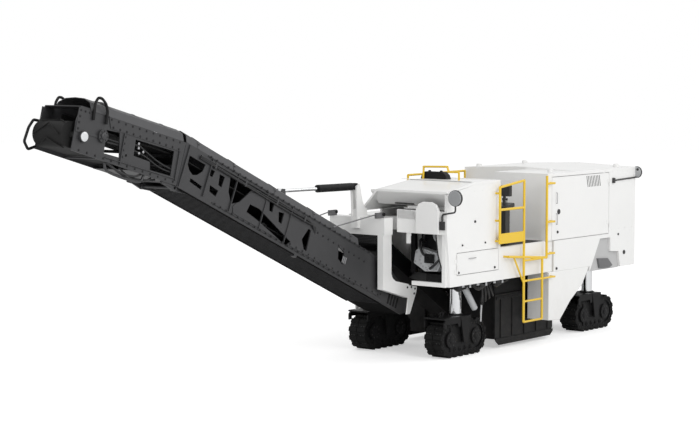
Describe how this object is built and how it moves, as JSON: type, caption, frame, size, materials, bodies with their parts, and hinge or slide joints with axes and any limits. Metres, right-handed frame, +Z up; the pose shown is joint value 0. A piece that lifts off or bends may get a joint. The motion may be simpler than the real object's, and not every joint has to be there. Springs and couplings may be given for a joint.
{
  "type": "cold planer milling machine",
  "caption": "Road milling machine on four steered tracks with a milling drum amidships, an engine hood, a rear hood, a boarding ladder and a long raised discharge conveyor in front.",
  "frame": {"origin": "on the ground under the middle of the bounding box", "axes": "+X towards the conveyor's head, +Y to the machine's left (ladder side), +Z up"},
  "size_m": [11.7678, 2.447, 3.9081],
  "materials": {
    "body_white": "semi-gloss white paint",
    "frame_dark": "satin dark grey paint",
    "conveyor_grey": "satin dark grey paint",
    "cover_grey": "matt grey cover",
    "track_black": "matt black track shoes",
    "carrier_dark": "satin dark grey paint",
    "rail_yellow": "gloss yellow paint",
    "leg_chrome": "hard chrome",
    "engine_grey": "plain grey castings",
    "belt_black": "matt black belt",
    "drum_dark": "worn dark steel",
    "console_black": "matt black",
    "mirror_black": "black mirror case"
  },
  "bodies": {
    "chassis": {"main_frame": "frame_dark", "leg_columns": "leg_chrome", "drum_housing": "frame_dark", "pickup_conveyor": "conveyor_grey", "front_body": "body_white", "front_beam": "body_white", "right_cover": "body_white", "engine": "engine_grey", "platform": "body_white", "rear_body": "body_white", "rear_tank": "body_white", "step_box": "frame_dark", "ladder": "rail_yellow", "right_rail": "rail_yellow", "console": "console_black", "front_mirror": "mirror_black", "rear_mirror": "mirror_black"},
    "track_front_left": {"track_front_left": "track_black", "track_frame_front_left": "carrier_dark"},
    "track_front_right": {"track_front_right": "track_black", "track_frame_front_right": "carrier_dark"},
    "track_rear_left": {"track_rear_left": "track_black", "track_frame_rear_left": "carrier_dark"},
    "track_rear_right": {"track_rear_right": "track_black", "track_frame_rear_right": "carrier_dark"},
    "drum": {"milling_drum": "drum_dark"},
    "side_plate_left": {"side_plate_left": "frame_dark"},
    "side_plate_right": {"side_plate_right": "frame_dark"},
    "moldboard": {"moldboard": "frame_dark"},
    "yoke": {"slew_yoke": "body_white", "stays": "leg_chrome", "boot": "belt_black"},
    "conveyor_lower": {"conveyor_lower_frame": "conveyor_grey", "conveyor_lower_cover": "cover_grey", "conveyor_lower_belt": "belt_black"},
    "conveyor_upper": {"conveyor_upper_frame": "conveyor_grey", "conveyor_upper_cover": "cover_grey", "conveyor_upper_belt": "belt_black", "head_guard": "conveyor_grey"},
    "lift_barrel": {"lift_barrel": "frame_dark"},
    "lift_rod": {"lift_rod": "leg_chrome"},
    "engine_lid": {"engine_lid": "body_white", "roof_rails": "rail_yellow", "exhaust_hood": "frame_dark"},
    "access_door": {"access_door": "body_white"},
    "rear_left_door": {"rear_left_door": "body_white"},
    "rear_door": {"rear_door": "body_white"}
  },
  "joints": [
    {"name": "steer_front_left", "type": "hinge", "parent": "chassis", "child": "track_front_left", "pos_m": [-1.539, 0.3875, 0.6], "axis": [0, 0, 1], "range_deg": [-25, 25]},
    {"name": "steer_front_right", "type": "hinge", "parent": "chassis", "child": "track_front_right", "pos_m": [-1.539, -1.0125, 0.6], "axis": [0, 0, 1], "range_deg": [-25, 25]},
    {"name": "steer_rear_left", "type": "hinge", "parent": "chassis", "child": "track_rear_left", "pos_m": [-5.199, 0.3875, 0.6], "axis": [0, 0, 1], "range_deg": [-25, 25]},
    {"name": "steer_rear_right", "type": "hinge", "parent": "chassis", "child": "track_rear_right", "pos_m": [-5.199, -1.0125, 0.6], "axis": [0, 0, 1], "range_deg": [-25, 25]},
    {"name": "drum_spin", "type": "hinge", "parent": "chassis", "child": "drum", "pos_m": [-3.189, -0.4825, 0.6], "axis": [0, 1, 0], "continuous": true},
    {"name": "side_plate_left_lift", "type": "slide", "parent": "chassis", "child": "side_plate_left", "axis": [0, 0, 1], "range_m": [0, 0.22]},
    {"name": "side_plate_right_lift", "type": "slide", "parent": "chassis", "child": "side_plate_right", "axis": [0, 0, 1], "range_m": [0, 0.22]},
    {"name": "moldboard_lift", "type": "slide", "parent": "chassis", "child": "moldboard", "axis": [0, 0, 1], "range_m": [0, 0.22]},
    {"name": "conveyor_slew", "type": "hinge", "parent": "chassis", "child": "yoke", "pos_m": [-0.389, -0.4825, 1.95], "axis": [0, 0, 1], "range_deg": [-35, 35]},
    {"name": "conveyor_lift", "type": "hinge", "parent": "yoke", "child": "conveyor_lower", "pos_m": [-0.859, -0.4825, 0.97], "axis": [0, -1, 0], "range_deg": [-10, 5]},
    {"name": "conveyor_fold", "type": "hinge", "parent": "conveyor_lower", "child": "conveyor_upper", "pos_m": [3.84185, -0.4825, 2.71486], "axis": [0, 1, 0], "range_deg": [0, 150]},
    {"name": "lift_barrel_pivot", "type": "hinge", "parent": "yoke", "child": "lift_barrel", "pos_m": [-0.249, -0.4825, 2.52], "axis": [0, -1, 0], "range_deg": [-14, 8]},
    {"name": "lift_rod_slide", "type": "slide", "parent": "lift_barrel", "child": "lift_rod", "axis": [0.9999, 0, 0.0121], "range_m": [-0.15, 0.28]},
    {"name": "engine_lid_hinge", "type": "hinge", "parent": "chassis", "child": "engine_lid", "pos_m": [-1.901, 0.1775, 2.57], "axis": [0, -1, 0], "range_deg": [0, 55]},
    {"name": "access_door_hinge", "type": "hinge", "parent": "chassis", "child": "access_door", "pos_m": [-0.785, 0.9495, 1.435], "axis": [0, 0, -1], "range_deg": [0, 100]},
    {"name": "rear_left_door_hinge", "type": "hinge", "parent": "chassis", "child": "rear_left_door", "pos_m": [-4.943, 0.9495, 2.08], "axis": [0, 0, 1], "range_deg": [0, 100]},
    {"name": "rear_door_hinge", "type": "hinge", "parent": "chassis", "child": "rear_door", "pos_m": [-5.771, -0.9415, 1.9], "axis": [0, 0, 1], "range_deg": [0, 110]}
  ],
  "couplings": [
    {"joint": "lift_barrel_pivot", "follows": "conveyor_lift", "ratio": 1.3},
    {"joint": "lift_rod_slide", "follows": "conveyor_lift", "m_per_rad": -1.52}
  ]
}
